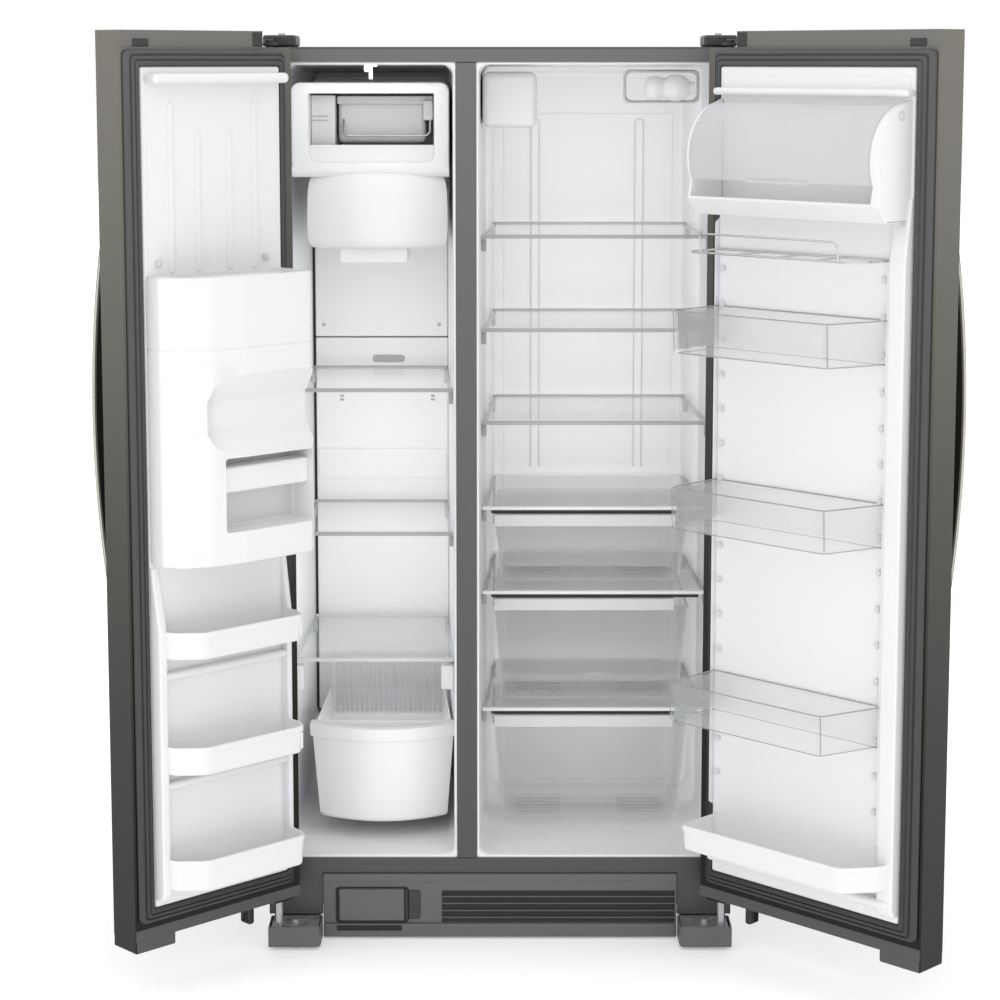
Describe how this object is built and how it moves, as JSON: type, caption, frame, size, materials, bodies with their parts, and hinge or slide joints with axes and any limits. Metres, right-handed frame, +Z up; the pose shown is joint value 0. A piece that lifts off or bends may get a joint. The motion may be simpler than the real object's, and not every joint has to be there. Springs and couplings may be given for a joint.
{
  "type": "side by side refrigerator",
  "caption": "Tall cabinet with a narrow freezer door and a wide fridge door standing open on shelves, drawers, door bins, an ice maker and a base grille.",
  "frame": {"origin": "on the floor, under the middle of the box around the whole object with its doors open as at rest", "axes": "+X to the right as seen from the front, +Y to the back of the cabinet, +Z up; the open front faces -Y"},
  "size_m": [1.5834, 1.17, 1.7706],
  "materials": {
    "exterior_steel": "dark satin",
    "galvanised_steel": "satin",
    "grey_trim": "satin",
    "dark_plastic": "satin",
    "gasket_rubber": "matte",
    "white_plastic": "gloss",
    "clear_plastic": "clear gloss",
    "shelf_glass": "clear",
    "foam": "matte",
    "coil_aluminium": "satin",
    "chrome_wire": "polished",
    "black_paint": "gloss"
  },
  "bodies": {
    "cabinet": {"back_panel": "galvanised_steel", "base_frame": "galvanised_steel", "base_grille": "grey_trim", "cabinet_shell": "exterior_steel", "compressor": "black_paint", "condenser_coil": "coil_aluminium", "control_housing": "white_plastic", "crisper_cover": "shelf_glass", "deli_cover": "shelf_glass", "evaporator_coil": "coil_aluminium", "evaporator_cover": "white_plastic", "foam_insulation": "foam", "freezer_bottom_hinge": "galvanised_steel", "freezer_drawer_cover": "shelf_glass", "freezer_foot_cover": "grey_trim", "freezer_liner": "white_plastic", "freezer_top_hinge": "dark_plastic", "fridge_bottom_hinge": "galvanised_steel", "fridge_foot_cover": "grey_trim", "fridge_lamp": "white_plastic", "fridge_liner": "white_plastic", "fridge_top_hinge": "dark_plastic", "front_frame": "grey_trim", "ice_housing": "white_plastic", "ice_maker": "grey_trim", "lower_crisper_cover": "shelf_glass", "lower_freezer_shelf": "shelf_glass", "lower_glass_shelf": "shelf_glass", "machine_cover": "dark_plastic", "middle_glass_shelf": "shelf_glass", "upper_freezer_shelf": "shelf_glass", "upper_glass_shelf": "shelf_glass"},
    "freezer_door": {"freezer_door_skin": "exterior_steel", "freezer_door_liner": "white_plastic", "freezer_door_gasket": "gasket_rubber", "freezer_door_handle": "exterior_steel", "dispenser_housing": "white_plastic", "dispenser_panel": "dark_plastic", "upper_freezer_door_bin": "white_plastic", "middle_freezer_door_bin": "white_plastic", "lower_freezer_door_bin": "white_plastic"},
    "fridge_door": {"fridge_door_skin": "exterior_steel", "fridge_door_liner": "white_plastic", "fridge_door_gasket": "gasket_rubber", "fridge_door_handle": "exterior_steel", "wire_rack": "chrome_wire", "bottom_fridge_door_bin": "white_plastic"},
    "dairy_lid": {"dairy_lid": "clear_plastic"},
    "dispenser_paddle": {"dispenser_paddle": "dark_plastic"},
    "freezer_drawer": {"freezer_drawer": "white_plastic"},
    "deli_drawer": {"deli_drawer": "clear_plastic"},
    "upper_crisper": {"upper_crisper": "clear_plastic"},
    "lower_crisper": {"lower_crisper": "clear_plastic"},
    "ice_bin": {"ice_bin": "white_plastic"},
    "upper_door_bin": {"upper_fridge_door_bin": "clear_plastic"},
    "middle_door_bin": {"middle_fridge_door_bin": "clear_plastic"},
    "lower_door_bin": {"lower_fridge_door_bin": "clear_plastic"},
    "water_filter": {"water_filter": "grey_trim"},
    "evaporator_fan": {"evaporator_fan": "dark_plastic"},
    "condenser_fan": {"condenser_fan": "dark_plastic"}
  },
  "joints": [
    {"name": "freezer_door_hinge", "type": "hinge", "parent": "cabinet", "child": "freezer_door", "pos_m": [-0.4746, -0.17, 0.9], "axis": [0, 0, -1], "range_deg": [-136.5, 8.5]},
    {"name": "fridge_door_hinge", "type": "hinge", "parent": "cabinet", "child": "fridge_door", "pos_m": [0.3854, -0.17, 0.9], "axis": [0, 0, 1], "range_deg": [-135.5, 8.5]},
    {"name": "dairy_lid_hinge", "type": "hinge", "parent": "fridge_door", "child": "dairy_lid", "pos_m": [0.4905, -0.38334, 1.643], "axis": [-0.7133, 0.7009, 0], "range_deg": [0, 80]},
    {"name": "dispenser_paddle_hinge", "type": "hinge", "parent": "freezer_door", "child": "dispenser_paddle", "pos_m": [-0.60617, -0.27832, 1.238], "axis": [-0.7254, -0.6884, 0], "range_deg": [0, 7], "stiffness_Nm_per_rad": 0.8},
    {"name": "freezer_drawer_slide", "type": "slide", "parent": "cabinet", "child": "freezer_drawer", "axis": [0, -1, 0], "range_m": [0, 0.28]},
    {"name": "deli_drawer_slide", "type": "slide", "parent": "cabinet", "child": "deli_drawer", "axis": [0, -1, 0], "range_m": [0, 0.25]},
    {"name": "upper_crisper_slide", "type": "slide", "parent": "cabinet", "child": "upper_crisper", "axis": [0, -1, 0], "range_m": [0, 0.25]},
    {"name": "lower_crisper_slide", "type": "slide", "parent": "cabinet", "child": "lower_crisper", "axis": [0, -1, 0], "range_m": [0, 0.25]},
    {"name": "ice_bin_slide", "type": "slide", "parent": "cabinet", "child": "ice_bin", "axis": [0, -1, 0], "range_m": [0, 0.25]},
    {"name": "upper_door_bin_lift", "type": "slide", "parent": "fridge_door", "child": "upper_door_bin", "axis": [0, 0, 1], "range_m": [0, 0.035]},
    {"name": "middle_door_bin_lift", "type": "slide", "parent": "fridge_door", "child": "middle_door_bin", "axis": [0, 0, 1], "range_m": [0, 0.035]},
    {"name": "lower_door_bin_lift", "type": "slide", "parent": "fridge_door", "child": "lower_door_bin", "axis": [0, 0, 1], "range_m": [0, 0.035]},
    {"name": "water_filter_slide", "type": "slide", "parent": "cabinet", "child": "water_filter", "axis": [0, -1, 0], "range_m": [0, 0.2]},
    {"name": "evaporator_fan_spin", "type": "hinge", "parent": "cabinet", "child": "evaporator_fan", "pos_m": [-0.2996, 0.465, 0.86], "axis": [0, -1, 0], "continuous": true},
    {"name": "condenser_fan_spin", "type": "hinge", "parent": "cabinet", "child": "condenser_fan", "pos_m": [-0.1046, 0.48, 0.165], "axis": [1, 0, 0], "continuous": true}
  ]
}
